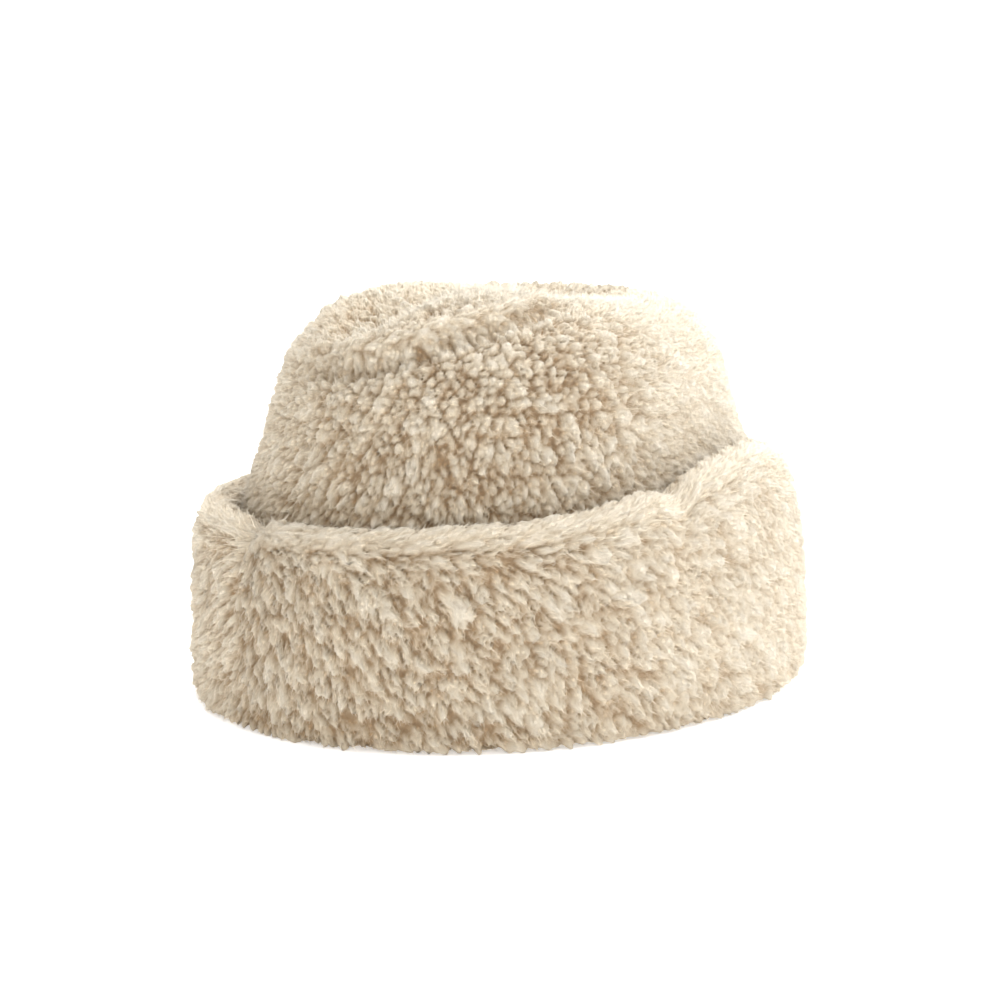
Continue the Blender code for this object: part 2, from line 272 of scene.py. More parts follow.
@dataclass
class CrownWall(Wall):
    """The crown's wall, with the slumps and the soft fold of its top."""

    half_length: float = 113.0 * MM
    half_width: float = 92.2 * MM
    side_view: Table = (
        # part of the half length, height in mm
        (1.000, 14.3), (0.998, 36.0), (0.975, 62.0), (0.925, 87.0), (0.882, 101.0),
        (0.842, 116.0), (0.808, 129.0), (0.755, 140.5), (0.680, 149.0), (0.570, 155.2),
        (0.420, 159.2), (0.220, 161.2), (0.000, 161.8),
    )
    dents: tuple[Dent, ...] = (
        Dent((0.0, -58.0 * MM), 13.0 * MM, 27.0 * MM, 90.0, 9.0 * MM),
        Dent((-4.0 * MM, 32.0 * MM), 46.0 * MM, 50.0 * MM, 0.0, 14.0 * MM),
        Dent((-52.0 * MM, -8.0 * MM), 28.0 * MM, 46.0 * MM, 90.0, 4.0 * MM),
        Dent((-42.0 * MM, -68.0 * MM), 26.0 * MM, 30.0 * MM, 0.0, 3.5 * MM),
    )
    dents_from: float = 112.0 * MM
    dents_full: float = 146.0 * MM
    fold: Table = (
        # bearing in degrees, height of the crease in mm
        (-108.0, 132.0), (-90.0, 134.5), (-74.0, 136.5), (-60.0, 142.0), (-48.0, 147.5),
        (-34.0, 152.0), (-20.0, 155.5), (-4.0, 158.5),
    )
    fold_fade: float = 14.0
    crease_depth: float = 3.8 * MM
    crease_half_width: float = 4.5 * MM
    ridge_height: float = 3.4 * MM
    ridge_above: float = 10.0 * MM
    ridge_half_width: float = 8.0 * MM

    def __post_init__(self) -> None:
        """Draws the side view as a smooth path."""
        rows = np.array([(reach * self.half_length, height * MM, 0.0) for reach, height in self.side_view])
        self.path = SidePath(smooth_rows(rows, parts=5))

    def flat_half_width(self, distance: np.ndarray) -> np.ndarray:
        """Half the width of the flat gore at each distance from its hem."""
        oval = self.half_width / self.half_length
        return self.path.at(distance)[0] * (1.0 + oval) / 2.0 * QUARTER_HALF_ANGLE

    def above_crease(self, turn: np.ndarray, distance: np.ndarray) -> tuple[np.ndarray, np.ndarray]:
        """Measures places from the fold.

        Args:
            turn: Bearings in radians.
            distance: Distances from the hem.

        Returns:
            Distance above the fold's crease, and the fold's strength from 0 to 1.
        """
        bearing = (np.degrees(turn) + 180.0) % 360.0 - 180.0
        bearings, heights = np.array(self.fold).T
        first, last = bearings[0], bearings[-1]
        strength = (blend(first, first + self.fold_fade, bearing)
                    * (1.0 - blend(last - self.fold_fade, last, bearing)))
        crease = self.path.where_height(np.interp(bearing, bearings, heights) * MM)
        return distance - crease, strength

    def place(self, turn: np.ndarray, distance: np.ndarray, depth: np.ndarray) -> np.ndarray:
        """Wraps places of the flat panel round the hat.

        Args:
            turn: Bearings in radians.
            distance: Distances from the hem.
            depth: Depths under the tips of the pile.

        Returns:
            World positions.
        """
        above, strength = self.above_crease(turn, distance)
        crease = self.crease_depth * np.exp(-(above / self.crease_half_width) ** 2)
        ridge = self.ridge_height * np.exp(-((above - self.ridge_above) / self.ridge_half_width) ** 2)
        reach, height, _ = self.path.at(distance)
        out, up = self.path.outward(distance)
        depth = depth - strength * (ridge - crease)
        inset = np.where(distance < self.path.length, depth * out, 0.0)
        points = np.stack([(reach * self.half_width / self.half_length - inset) * np.cos(turn),
                           (reach - inset) * np.sin(turn),
                           height - depth * up], axis=-1)
        weight = blend(self.dents_from, self.dents_full, points[..., 2])
        points[..., 2] -= weight * sum(dent.sink(points) for dent in self.dents)
        return points


@dataclass
class Rim:
    """Rim of the cuff, which rises, dips and leans round the hat and is notched at each seam."""

    rows: Table = (
        # height in mm and lean inwards in mm, every 22.5 degrees from a bearing of -90
        (80.0, 0.0), (82.0, 0.0), (84.0, 0.0), (86.5, 0.5), (93.0, 1.5), (100.0, 3.0),
        (91.0, 5.0), (84.0, 4.5), (82.0, 3.0), (81.0, 2.0), (80.0, 1.0), (79.0, 0.5),
        (77.0, 0.0), (74.5, 0.0), (76.0, 0.0), (78.5, 0.0),
    )
    first_bearing: float = -90.0
    level: float = 85.0 * MM
    notch: float = 4.0 * MM
    notch_half_angle: float = 5.0

    def __post_init__(self) -> None:
        """Draws the rim as a smooth closed line."""
        self.finer = smooth_rows(np.array(self.rows) * MM, parts=16, closed=True)

    def at(self, turn: np.ndarray) -> tuple[np.ndarray, np.ndarray]:
        """Reads the rim's line.

        Args:
            turn: Bearings in radians.

        Returns:
            Rise above the level height, and lean inwards.
        """
        bearing = np.degrees(turn)
        place = ((bearing - self.first_bearing) % 360.0) / 360.0 * (len(self.finer) - 1)
        marks = np.arange(len(self.finer))
        from_seam = np.abs((bearing + 45.0) % 90.0 - 45.0)
        notch = self.notch * (1.0 - blend(0.0, self.notch_half_angle, from_seam))
        return (np.interp(place, marks, self.finer[:, 0]) - notch - self.level,
                np.interp(place, marks, self.finer[:, 1]))


@dataclass
class CuffWall(Wall):
    """A face of the turned-up cuff, drawn by insets from its widest oval."""

    section: Table
    half_length: float = 129.0 * MM
    half_width: float = 108.2 * MM
    rim: Rim = field(default_factory=Rim)

    def __post_init__(self) -> None:
        """Draws the section as a path."""
        self.path = SidePath(np.array([(-inset * MM, height * MM, rise)
                                       for inset, height, rise in self.section]))

    def flat_half_width(self, distance: np.ndarray) -> np.ndarray:
        """Half the width of the flat panel at each distance from its hem."""
        return ((self.half_length + self.half_width) / 2.0 + self.path.at(distance)[0]) * QUARTER_HALF_ANGLE

    def place(self, turn: np.ndarray, distance: np.ndarray, depth: np.ndarray) -> np.ndarray:
        """Wraps places of the flat panel round the hat.

        Args:
            turn: Bearings in radians.
            distance: Distances from the hem.
            depth: Depths under the tips of the pile.

        Returns:
            World positions.
        """
        reach, height, rise = self.path.at(distance)
        out, up = self.path.outward(distance)
        rim_rise, lean = self.rim.at(turn)
        reach = reach - depth * out - rise ** 2 * lean
        height = height + rise * rim_rise - depth * up
        return np.stack([(self.half_width + reach) * np.cos(turn),
                         (self.half_length + reach) * np.sin(turn),
                         np.maximum(height, 0.0)], axis=-1)


def fibre_shape() -> Arrays:
    """Models one loose fibre, a thin closed spike along +Z of length 1 and radius 1.

    Returns:
        Its mesh.
    """
    bpy.ops.object.select_all(action="DESELECT")
    bpy.ops.mesh.primitive_cone_add(vertices=3, radius1=1.0, radius2=0.0, depth=1.0,
                                    location=(0.0, 0.0, 0.5), end_fill_type="NGON")
    bpy.ops.object.transform_apply(location=True, rotation=False, scale=False)
    return taken_arrays(bpy.context.object)


def taken_arrays(thing: bpy.types.Object) -> Arrays:
    """Reads the mesh of a modelled shape and removes the shape.

    Args:
        thing: The shape.

    Returns:
        Its mesh.
    """
    mesh = thing.data
    corners = np.empty(len(mesh.vertices) * 3)
    mesh.vertices.foreach_get("co", corners)
    mesh.calc_loop_triangles()
    faces = np.empty(len(mesh.loop_triangles) * 3, dtype=np.int64)
    mesh.loop_triangles.foreach_get("vertices", faces)
    bpy.data.objects.remove(thing)
    return corners.reshape(-1, 3), faces.reshape(-1, 3)


def side_normals(points: np.ndarray, faces: np.ndarray, joined: np.ndarray) -> np.ndarray:
    """Smooth normals of one side of the cloths of a wall.

    Args:
        points: Corner positions of all the cloths.
        faces: Triangles of the side.
        joined: Number of the place of each corner, the same for corners that meet.

    Returns:
        The normal at each corner, which is 0 off the side.
    """
    across = np.cross(points[faces[:, 1]] - points[faces[:, 0]], points[faces[:, 2]] - points[faces[:, 0]])
    normals = np.zeros_like(points)
    for corner in range(3):
        for axis in range(3):
            normals[:, axis] += np.bincount(joined[faces[:, corner]], across[:, axis], len(points))
    return unit(normals)[joined]


def flat_blank(name: str, columns: int, rows: int, cuts: int) -> bpy.types.Object:
    """Models a flat blank of cloth, 2 by 2 and 1 thick, cut in a grid that is finer on the pile's side.

    Args:
        name: Name of the blank.
        columns: Squares across the backing.
        rows: Squares along the backing.
        cuts: Cuts of each square on the side of the pile.

    Returns:
        The blank.
    """
    bpy.ops.object.select_all(action="DESELECT")
    bpy.ops.mesh.primitive_grid_add(x_subdivisions=columns, y_subdivisions=rows, size=2.0)
    blank = bpy.context.object
    blank.name = name
    bpy.ops.object.modifier_add(type="SOLIDIFY")
    thick = blank.modifiers[-1]
    thick.thickness = 1.0
    thick.offset = 0.0
    bpy.ops.object.modifier_apply(modifier=thick.name)
    bpy.context.tool_settings.mesh_select_mode = (False, False, True)
    bpy.ops.object.mode_set(mode="EDIT")
    bpy.ops.mesh.select_all(action="DESELECT")
    bpy.ops.object.mode_set(mode="OBJECT")
    # The pile's side of the blank is at a height of 0.5, and its edges are round 0.
    for face in blank.data.polygons:
        face.select = face.center.z > 0.25
    bpy.ops.object.mode_set(mode="EDIT")
    bpy.ops.mesh.subdivide(number_cuts=cuts)
    bpy.ops.object.mode_set(mode="OBJECT")
    return blank


def waves(points: np.ndarray, longest: float, chance: np.random.Generator) -> np.ndarray:
    """Smooth unevenness over some points.

    Args:
        points: Flat points, or points in space.
        longest: Longest wave.
        chance: Source of the waves.

    Returns:
        A value at each point, mostly from -1 to 1.
    """
    total = np.zeros(len(points))
    for _ in range(WAVE_COUNT):
        heading = unit(chance.normal(0.0, 1.0, points.shape[1]))
        phase = chance.uniform(0.0, 2.0 * math.pi)
        length = longest * chance.uniform(SHORTEST_WAVE, 1.0)
        total += np.sin(2.0 * math.pi * (points @ heading) / length + phase)
    return total / math.sqrt(WAVE_COUNT)


@dataclass(frozen=True)
class Lie:
    """How the pile lies at some places, as arrays with one entry a place.

    It has its lean down and aside, the share of its relief, its depth and the looseness of its fibres.
    """

    down: np.ndarray
    aside: np.ndarray
    rise: np.ndarray
    sunk: np.ndarray
    loose: np.ndarray


LieRule = Callable[[np.ndarray, np.ndarray, np.ndarray], Lie]


@dataclass(frozen=True)
class Kit:
    """What a wall is made with: a loose fibre, materials for pile and backing, and a source of chance."""

    fibre: Arrays
    finishes: tuple[bpy.types.Material, ...]
    chance: np.random.Generator


@dataclass(frozen=True)
class Heaps:
    """A size of heap in the pile: its pitch, its height over its gaps, its lengthening and its fullness."""

    pitch: float
    drop: float
    stretch: float
    fullness: float


@dataclass
class Locks:
    """Locks of a whole wall: soft heaps that lean, and that merge where they meet."""

    places: np.ndarray
    out: np.ndarray
    lean: np.ndarray
    height: np.ndarray
    heaps: Heaps
    near: int = 9
    blur: float = 0.16

    def __post_init__(self) -> None:
        """Sorts the locks by place."""
        self.tree = KDTree(len(self.places))
        for index, place in enumerate(self.places.tolist()):
            self.tree.insert(place, index)
        self.tree.balance()
        self.length = 1.0 + self.heaps.stretch * np.linalg.norm(self.lean, axis=1)
        self.heading = unit(self.lean)
        self.side = np.cross(self.out, self.heading)

    def read(self, points: np.ndarray) -> dict[str, np.ndarray]:
        """Reads the relief of the locks.

        Args:
            points: Places on the wall.

        Returns:
            The relief, which is 0 on an even lock's crest and falls to the gaps round it, the lean
            there, the place in the frame of the nearest lock, and that lock's number.
        """
        near = np.array([[hit[1] for hit in self.tree.find_n(point, self.near)] for point in points.tolist()])
        offset = points[:, None] - self.places[near]
        along = (offset * self.heading[near]).sum(axis=2)
        across = (offset * self.side[near]).sum(axis=2)
        length = self.length[near]
        away = np.sqrt(along ** 2 / length + across ** 2 * length) / self.heaps.pitch
        closest, second = np.partition(away, 1, axis=1)[:, :2].T
        to_gap = 2.0 * closest / (closest + second)
        weight = np.exp(-(away - closest[:, None]) / self.blur)
        weight /= weight.sum(axis=1)[:, None]
        height = (weight * self.height[near]).sum(axis=1)
        lean = (weight[..., None] * self.lean[near]).sum(axis=1)
        row, first = np.arange(len(points)), away.argmin(axis=1)
        return {"relief": height - self.heaps.drop * to_gap ** self.heaps.fullness, "lean": lean,
                "lock": near[row, first], "across": across[row, first], "along": along[row, first]}


@dataclass
class Pile:
    """Pile of a wall: leaning locks, strands in the locks, and loose fibres over them."""

    tufts: Heaps
    locks: Heaps
    strands: Heaps = Heaps(pitch=1.9 * MM, drop=0.40 * MM, stretch=1.1, fullness=1.7)
    jitter: float = 0.34
    uneven: float = 0.24
    lowest: float = -4.0 * MM
    shear: float = 0.50
    shear_from: float = 2.6 * MM
    gap_wave: float = 12.0 * MM
    gap_change: float = 0.45
    gap_seed: int = 5
    root_depth: float = 0.3 * MM
    curl: float = 0.2 * MM
    curl_wave: float = 5.0 * MM
    stray: float = 0.16
    sway: float = 0.18
    sway_wave: float = 34.0 * MM
    noise_stretch: float = 0.6
    noise_span: float = 80.0
    # Real fibres are about 0.03 mm thick. The loose ones are drawn coarser and fewer, so that they show.
    fibre_pitch: float = 1.32 * MM
    fibre_length: float = 3.1 * MM
    fibre_lengths: tuple[float, float] = (0.6, 1.3)
    fibre_radius: float = 0.13 * MM
    fibre_radii: tuple[float, float] = (0.7, 1.2)
    fibre_lean: float = 0.8
    fibre_lift: float = 0.74
    fibre_stray: float = 0.38
    fibre_rooted: float = 0.5 * MM
    fibre_roundness: float = 0.5
    # The loose fibres take the painted shade of the skin at their roots and fade it to a lighter tip.
    fibre_shade_fade: float = 0.3
    fibre_tip_shade: float = 0.42
    floor_lift: float = 0.6 * MM

    def rows(self, wall: Wall, start: float, end: float, pitch: float,
             chance: np.random.Generator) -> tuple[np.ndarray, np.ndarray]:
        """Plants staggered points on a flat panel.

        Args:
            wall: The wall that the panel is cut for.
            start: Distance of the first row from the hem.
            end: Distance of the last row.
            pitch: Distance between neighbours.
            chance: Source of the straying.

        Returns:
            Share of the half width, and distance from the hem, of each point.
        """
        count = max(1, round((end - start) / (ROW_STEP * pitch)))
        widest = float(np.max(wall.flat_half_width(np.linspace(start, end, WIDTH_PLACES))))
        reach = int(widest / pitch) + 2
        column, row = np.meshgrid(np.arange(-reach, reach + 1), np.arange(count + 1))
        x = (column + 0.5 * (row % 2)) * pitch
        y = start + (end - start) * row / count
        points = np.stack([x.ravel(), y.ravel()], axis=1)
        points += chance.uniform(-self.jitter, self.jitter, points.shape) * pitch
        half = wall.flat_half_width(points[:, 1])
        inside = (np.abs(points[:, 0]) < half) & (points[:, 1] >= start) & (points[:, 1] <= end)
        return points[inside, 0] / half[inside], points[inside, 1]

    def heaped(self, wall: Wall, start: float, end: float, heaps: Heaps,
               rules: dict[Quarter, LieRule], chance: np.random.Generator) -> Locks:
        """Plants the heaps of one size on all four panels.

        Args:
            wall: The wall that carries them.
            start: Distance of the first row from the hem.
            end: Distance of the last row.
            heaps: Their size.
            rules: Gives how the pile of each quarter lies.
            chance: Source of the unevenness.

        Returns:
            The heaps.
        """
        parts = []
        for quarter, rule in rules.items():
            across, distance = self.rows(wall, start, end, heaps.pitch, chance)
            turn = quarter.middle + across * QUARTER_HALF_ANGLE
            how = rule(turn, across, distance)
            places, out, up, around = wall.axes(turn, distance, how.sunk)
            flat = np.stack([across * wall.flat_half_width(distance), distance], axis=1)
            down, aside = (value + self.sway * waves(flat, self.sway_wave, chance)
                           + chance.normal(0.0, self.stray, len(across)) for value in (how.down, how.aside))
            parts.append((places, out, around * aside[:, None] - up * down[:, None]))
        places, out, lean = (np.concatenate(pieces) for pieces in zip(*parts))
        height = chance.normal(0.0, self.uneven * heaps.drop, len(places))
        return Locks(places, out, lean, height, heaps)

    def planted(self, wall: Wall, start: float, end: float, rules: dict[Quarter, LieRule],
                chance: np.random.Generator) -> "PlantedPile":
        """Plants the pile on a wall.

        Args:
            wall: The wall that carries it.
            start: Distance of the first row from the hem.
            end: Distance of the last row.
            rules: Gives how the pile of each quarter lies.
            chance: Source of the unevenness.

        Returns:
            The pile, with its tufts, locks and strands in place.
        """
        tufts, locks, strands = (self.heaped(wall, start, end, heaps, rules, chance)
                                 for heaps in (self.tufts, self.locks, self.strands))
        return PlantedPile(self, wall, start, end, rules, tufts, locks, strands,
                           chance.uniform(0.0, 1.0, len(tufts.places)),
                           chance.uniform(0.0, 1.0, len(locks.places)),
                           chance.uniform(0.0, self.noise_span, (len(strands.places), 3)))


@dataclass
class PlantedPile:
    """Pile of a wall with all its locks in place."""

    make: Pile
    wall: Wall
    start: float
    end: float
    rules: dict[Quarter, LieRule]
    tufts: Locks
    locks: Locks
    strands: Locks
    tuft_tones: np.ndarray
    lock_tones: np.ndarray
    offsets: np.ndarray

    def gap_waves(self, points: np.ndarray) -> np.ndarray:
        """Unevenness of the gaps' depth at each point, the same on both sides of a seam."""
        chance = np.random.default_rng(self.make.gap_seed)
        return np.clip(waves(points, self.make.gap_wave, chance), -1.0, 1.0)

    def curls(self, points: np.ndarray) -> np.ndarray:
        """Small bends of the locks' outlines at each point, from about -1 to 1 along each axis."""
        return np.stack([waves(points, self.make.curl_wave, np.random.default_rng(self.make.gap_seed + axis))
                         for axis in (1, 2, 3)], axis=1)

    def skin(self, quarter: Quarter, across: np.ndarray, distance: np.ndarray) -> dict[str, np.ndarray]:
        """Raises the pile at some places of a panel.

        Args:
            quarter: The quarter that the panel covers.
            across: Share of the half width at each place.
            distance: Distance of each place from the hem.

        Returns:
            Positions, roots, directions out of the wall, leans, looseness, and the shader's attributes.
        """
        turn = quarter.middle + across * QUARTER_HALF_ANGLE
        how = self.rules[quarter](turn, across, distance)
        points, out, _, _ = self.wall.axes(turn, distance, how.sunk)
        curled = points + self.make.curl * self.curls(points)
        tuft, lock, strand = (heaps.read(curled) for heaps in (self.tufts, self.locks, self.strands))
        closed = 1.0 + self.make.gap_change * self.gap_waves(points)
        relief = tuft["relief"] * closed + lock["relief"] * (2.0 - closed) + strand["relief"]
        relief = np.maximum(relief, self.make.lowest) * how.rise
        lean = lock["lean"]
        shift = self.make.shear * np.maximum(relief + self.make.shear_from, 0.0) * how.rise
        raised = points + out * relief[:, None] + lean * shift[:, None]
        raised[:, 2] = np.maximum(raised[:, 2], 0.0)
        fibre = np.stack([strand["across"] / MM, strand["along"] / MM * self.make.noise_stretch,
                          relief / MM], axis=1) + self.offsets[strand["lock"]]
        # Painted shade: X is the depth in the pile, which the pile's colour ramp turns darker in the gaps; Y
        # and Z are random tones of the lock and the tuft.
        shade = np.stack([np.clip(1.0 + relief / -self.make.lowest, 0.0, 1.0),
                          self.lock_tones[lock["lock"]], self.tuft_tones[tuft["lock"]]], axis=1)
        root = points + out * np.minimum(relief - self.make.root_depth, -self.make.shear_from)[:, None]
        return {"points": raised, "root": root, "out": out, "lean": lean, "loose": how.loose,
                "fibre": fibre, "lock": shade}

    def fibres(self, quarter: Quarter, kit: Kit) -> dict[str, np.ndarray]:
        """Lays the loose fibres of a panel over its locks.

        Args:
            quarter: The quarter that the panel covers.
            kit: What it is made with.

        Returns:
            The fibres' corner positions, normals, triangles and attributes.
        """
        make, chance = self.make, kit.chance
        across, distance = make.rows(self.wall, self.start, self.end, make.fibre_pitch, chance)
        skin = self.skin(quarter, across, distance)
        count = len(across)
        stray = chance.normal(0.0, make.fibre_stray, (count, 3))
        lift = (make.fibre_lift * skin["loose"])[:, None]
        heading = unit(skin["lean"] * make.fibre_lean + skin["out"] * lift + stray)
        side = unit(np.cross(heading, skin["out"]))
        other = np.cross(heading, side)
        length = make.fibre_length * chance.uniform(*make.fibre_lengths, count) * skin["loose"]
        radius = make.fibre_radius * chance.uniform(*make.fibre_radii, count)
        corners, faces = kit.fibre
        x, y, along = (corners[None, :, axis, None] for axis in range(3))
        root = skin["points"] - heading * make.fibre_rooted
        round_it = side[:, None] * x + other[:, None] * y
        points = (root[:, None] + heading[:, None] * (along * length[:, None, None])
                  + round_it * radius[:, None, None])
        points[..., 2] = np.maximum(points[..., 2], chance.uniform(0.0, make.floor_lift, count)[:, None])
        normals = unit(skin["out"][:, None] + make.fibre_roundness * round_it)
        normals = np.broadcast_to(normals, points.shape)
        shade = np.repeat(skin["lock"][:, None], len(corners), axis=1)
        along = along[..., 0]
        # Painted shade of the skin, fading along the fibre to a lighter tip.
        shade[..., 0] = np.clip(shade[..., 0] * (1.0 - make.fibre_shade_fade * along) + make.fibre_tip_shade * along,
                                0.0, 1.0)
        shade[..., 1] = chance.uniform(0.0, 1.0, count)[:, None]
        fibre = np.repeat(skin["fibre"][:, None], len(corners), axis=1)
        triangles = faces[None] + (np.arange(count) * len(corners))[:, None, None]
        return {"points": points.reshape(-1, 3), "normals": normals.reshape(-1, 3),
                "faces": triangles.reshape(-1, 3), "fibre": fibre.reshape(-1, 3),
                "lock": shade.reshape(-1, 3)}


@dataclass
class NodeTree:
    """Shader tree of a material, with its Principled shader."""

    material: bpy.types.Material

    def __post_init__(self) -> None:
        """Opens the tree."""
        self.material.use_nodes = True
        self.tree = self.material.node_tree
        self.shader = self.tree.nodes["Principled BSDF"]

    def node(self, kind: str, inputs: dict[str, object] | None = None, **settings: object) -> bpy.types.Node:
        """Adds a node.

        Args:
            kind: Blender's name of the node's type.
            inputs: Values or sockets by the name or number of the input.
            **settings: Properties of the node.

        Returns:
            The node.
        """
        made = self.tree.nodes.new(kind)
        for name, value in settings.items():
            setattr(made, name, value)
        for name, value in (inputs or {}).items():
            self.feed(made.inputs[name], value)
        return made

    def feed(self, socket: bpy.types.NodeSocket, value: object) -> None:
        """Links a socket to an input, or sets the input's value.

        Args:
            socket: The input.
            value: The socket or value that it gets.
        """
        if isinstance(value, bpy.types.NodeSocket):
            self.tree.links.new(value, socket)
        else:
            socket.default_value = value

    def finish(self, inputs: dict[str, object]) -> None:
        """Feeds the Principled shader."""
        for name, value in inputs.items():
            self.feed(self.shader.inputs[name], value)


@dataclass(frozen=True)
class PileFinish:
    """Acrylic pile: fine crimped fibres without gloss; its colour ramp paints shade by depth in the pile,
    warm and dark in the gaps and pale at the tips.
    """

    name: str
    # The gap colour is painted shade in the hollows between the locks.
    gap_shade_hex: str = "a78a68"
    body_hex: str = "d6c6ac"
    tip_hex: str = "e1d5c0"
    roughness: float = 0.92
    # The sheen is the soft glow of fibre tips at a slant.
    sheen: float = 0.25
    sheen_hex: str = "fff4e2"
    sheen_roughness: float = 0.6
    specular: float = 0.15
    gap_shade_stop: float = 0.25
    body_stop: float = 0.68
    # Streaks of fibres 0.03 mm thick are too fine to show, so they are drawn as coarse as they need to be.
    fibre_mm: float = 0.5
    fibre_bump: float = 0.9
    bump_depth: float = 0.7 * MM
    patch: float = 22.0 * MM
    lock_spread: float = 0.06
    tuft_spread: float = 0.05
    patch_spread: float = 0.12
    streak_spread: float = 1.6

    def material(self) -> bpy.types.Material:
        """Makes the material.

        Returns:
            The material.
        """
        tree = NodeTree(bpy.data.materials.new(self.name))
        lock = tree.node("ShaderNodeAttribute", attribute_name="lock")
        parts = tree.node("ShaderNodeSeparateXYZ", {0: lock.outputs["Vector"]})
        # Painted shade: X of the lock attribute is the depth in the pile, so the ramp darkens the colour
        # towards the gaps and pales it towards the tips.
        shade_ramp = tree.node("ShaderNodeValToRGB", {0: parts.outputs["X"]})
        stops = shade_ramp.color_ramp.elements
        stops[0].position, stops[0].color = self.gap_shade_stop, linear_colour(self.gap_shade_hex)
        stops[1].position, stops[1].color = 1.0, linear_colour(self.tip_hex)
        stops.new(self.body_stop).color = linear_colour(self.body_hex)
        place = tree.node("ShaderNodeTexCoord")
        patches = tree.node("ShaderNodeTexNoise", {"Vector": place.outputs["Object"],
                                                   "Scale": 1.0 / self.patch, "Detail": 2.0})
        fibre = tree.node("ShaderNodeAttribute", attribute_name="fibre")
        strands = tree.node("ShaderNodeTexNoise", {"Vector": fibre.outputs["Vector"],
                                                   "Scale": 1.0 / self.fibre_mm, "Detail": 4.0,
                                                   "Roughness": 0.75})
        changes = ((parts.outputs["Y"], self.lock_spread), (parts.outputs["Z"], self.tuft_spread),
                   (patches.outputs["Fac"], self.patch_spread), (strands.outputs["Fac"], self.streak_spread))
        value = 1.0 - sum(spread for _, spread in changes) / 2.0
        for share, spread in changes:
            value = tree.node("ShaderNodeMath", {0: share, 1: spread, 2: value},
                              operation="MULTIPLY_ADD").outputs[0]
        varied = tree.node("ShaderNodeHueSaturation", {"Color": shade_ramp.outputs["Color"], "Value": value,
                                                       "Saturation": 1.0, "Fac": 1.0, "Hue": 0.5})
        bump = tree.node("ShaderNodeBump", {"Height": strands.outputs["Fac"],
                                            "Strength": self.fibre_bump, "Distance": self.bump_depth})
        tree.finish({"Base Color": varied.outputs["Color"], "Normal": bump.outputs["Normal"],
                     "Roughness": self.roughness, "Specular IOR Level": self.specular,
                     "Sheen Weight": self.sheen, "Sheen Roughness": self.sheen_roughness,
                     "Sheen Tint": linear_colour(self.sheen_hex)})
        return tree.material


@dataclass(frozen=True)
class BackingFinish:
    """Knitted backing of the pile, plain stitches in warm cream with a soft brushed face, and painted shade
    in the hollows between the stitches.
    """

    name: str
    yarn_hex: str = "c9ad86"
    hollow_shade_hex: str = "8c6f4c"
    yarn_stop: float = 0.15
    hollow_shade_stop: float = 0.75
    # A stitch of the knit is 1.6 mm wide.
    stitch: float = 1.6 * MM
    stitch_stray: float = 0.55
    stitch_bump: float = 0.6
    bump_depth: float = 0.5 * MM
    roughness: float = 0.95
    specular: float = 0.15

    def material(self) -> bpy.types.Material:
        """Makes the material.

        Returns:
            The material.
        """
        tree = NodeTree(bpy.data.materials.new(self.name))
        place = tree.node("ShaderNodeTexCoord")
        stitches = tree.node("ShaderNodeTexVoronoi", {"Vector": place.outputs["Object"],
                                                      "Scale": 1.0 / self.stitch,
                                                      "Randomness": self.stitch_stray})
        # Painted shade: the ramp darkens the hollows between the stitches.
        shade_ramp = tree.node("ShaderNodeValToRGB", {0: stitches.outputs["Distance"]})
        stops = shade_ramp.color_ramp.elements
        stops[0].position, stops[0].color = self.yarn_stop, linear_colour(self.yarn_hex)
        stops[1].position, stops[1].color = self.hollow_shade_stop, linear_colour(self.hollow_shade_hex)
        bump = tree.node("ShaderNodeBump", {"Height": stitches.outputs["Distance"],
                                            "Strength": self.stitch_bump, "Distance": self.bump_depth},
                         invert=True)
        tree.finish({"Base Color": shade_ramp.outputs["Color"], "Normal": bump.outputs["Normal"],
                     "Roughness": self.roughness, "Specular IOR Level": self.specular})
        return tree.material


@dataclass
class Wrap:
    """Cloth of a panel, wrapped round the hat: its mesh, which corners are piled, and the shader's values."""

    points: np.ndarray
    faces: np.ndarray
    piled: np.ndarray
    values: dict[str, np.ndarray]


